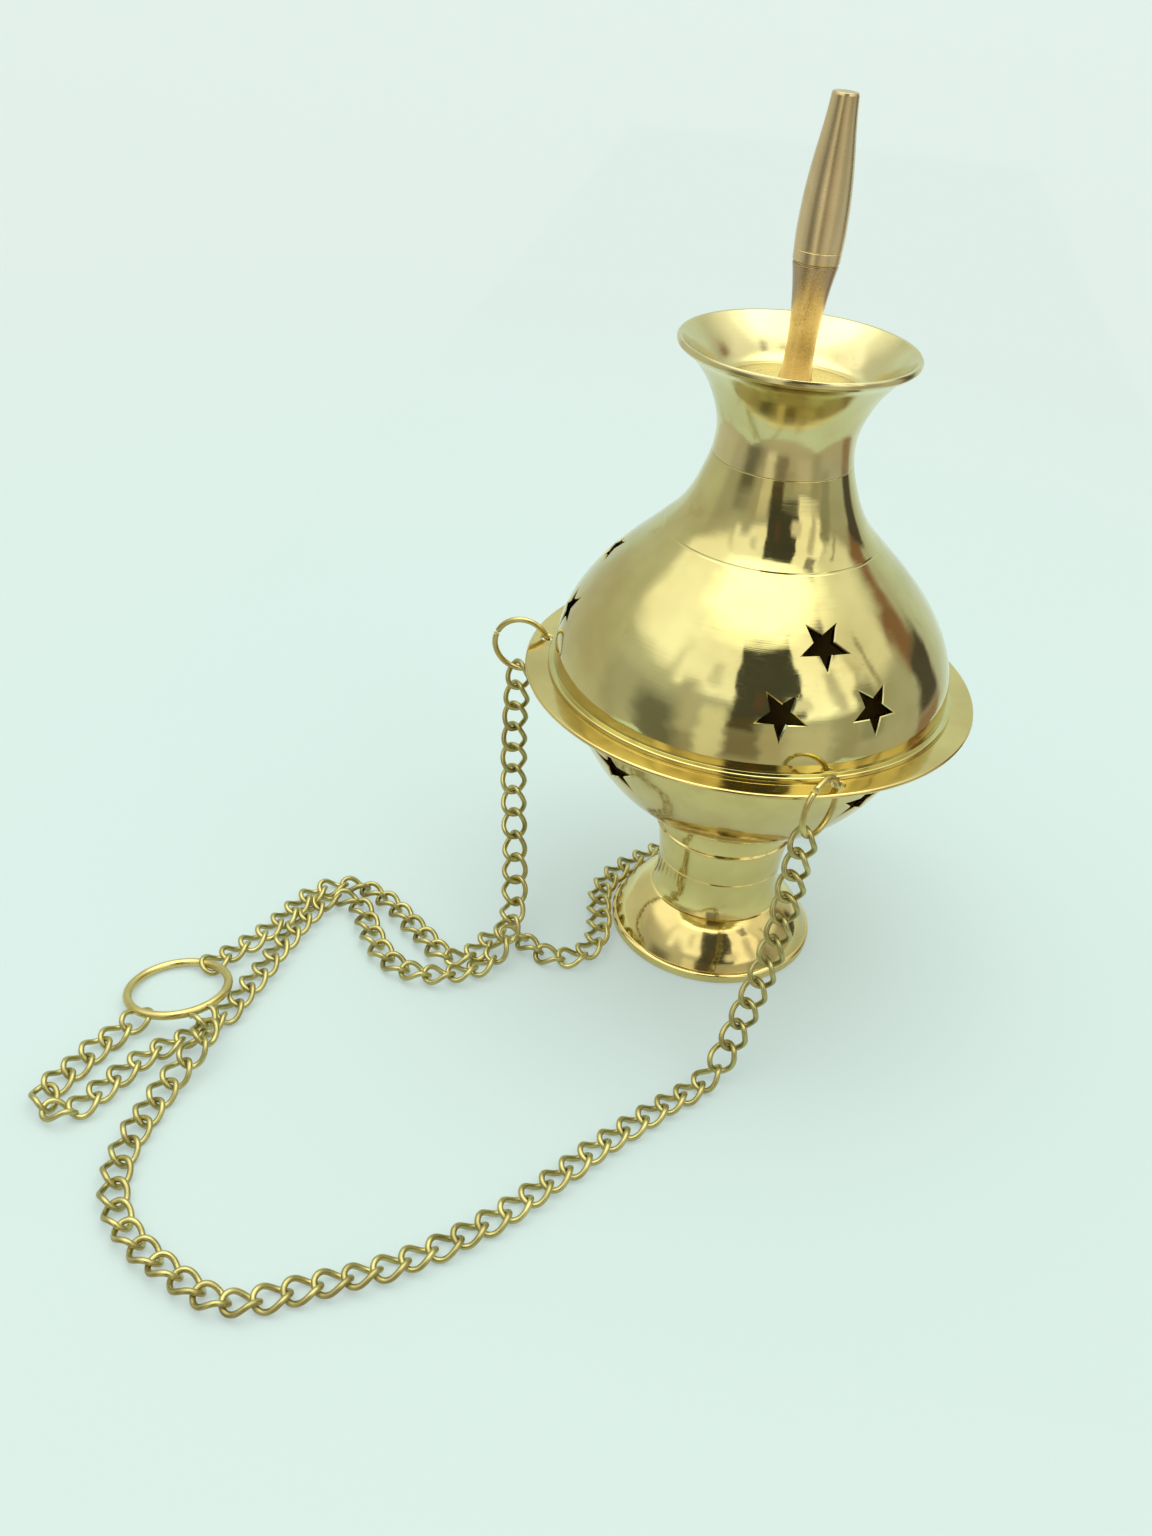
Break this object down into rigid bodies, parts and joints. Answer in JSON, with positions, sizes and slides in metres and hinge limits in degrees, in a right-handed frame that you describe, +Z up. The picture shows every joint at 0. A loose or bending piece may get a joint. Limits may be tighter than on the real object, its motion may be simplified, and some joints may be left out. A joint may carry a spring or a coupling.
{
  "type": "hanging censer",
  "caption": "Turned brass thurible: footed bowl with a flat flange, pierced lid with a trumpet neck and a finger handle, and three chains that meet at a hanging ring",
  "frame": {"origin": "Centre of the foot's underside, on the censer's turning axis, at floor level", "axes": "+Z up along the turning axis; the chains lie on the floor towards -X and -Y; the front jump ring is near -Y"},
  "size_m": [0.1431, 0.1502, 0.1529],
  "materials": {
    "foot_brass": "polished",
    "bowl_brass": "polished",
    "lid_brass": "polished",
    "handle_brass": "polished",
    "ring_brass": "satin",
    "chain_brass": "satin",
    "fastener_steel": "plain"
  },
  "bodies": {
    "vessel": {"foot": "foot_brass", "foot_screw": "fastener_steel", "foot_washer": "fastener_steel", "foot_nut": "fastener_steel", "bowl": "bowl_brass", "chain_left": "chain_brass", "chain_back": "chain_brass", "chain_front": "chain_brass"},
    "lid": {"lid_dome": "lid_brass", "mouth_cup": "lid_brass", "lid_stud": "fastener_steel", "lid_washer": "fastener_steel", "lid_nut": "fastener_steel", "handle_base": "handle_brass", "handle_grip": "handle_brass"},
    "left_ring": {"jump_ring_left": "ring_brass"},
    "front_ring": {"jump_ring_front": "ring_brass"},
    "back_ring": {"jump_ring_back": "ring_brass"},
    "hang_ring": {"hanging_ring": "ring_brass"}
  },
  "joints": [
    {"name": "lid_lift", "type": "slide", "parent": "vessel", "child": "lid", "axis": [0, 0, 1], "range_m": [0, 0.06]},
    {"name": "left_ring_swing", "type": "hinge", "parent": "vessel", "child": "left_ring", "pos_m": [-0.03705, 0.00194, 0.05588], "axis": [0, 1, 0], "range_deg": [-15, 40]},
    {"name": "front_ring_swing", "type": "hinge", "parent": "vessel", "child": "front_ring", "pos_m": [0.01684, -0.03306, 0.05588], "axis": [-0.866, 0.5, 0], "range_deg": [-15, 40]},
    {"name": "back_ring_swing", "type": "hinge", "parent": "vessel", "child": "back_ring", "pos_m": [0.02021, 0.03112, 0.05588], "axis": [0.8387, -0.5446, 0], "range_deg": [-15, 40]},
    {"name": "hanging_ring_turn", "type": "hinge", "parent": "vessel", "child": "hang_ring", "pos_m": [-0.0907, -0.0483, 0.0024], "axis": [-0.1345, 0.1255, 0.9829], "continuous": true}
  ]
}
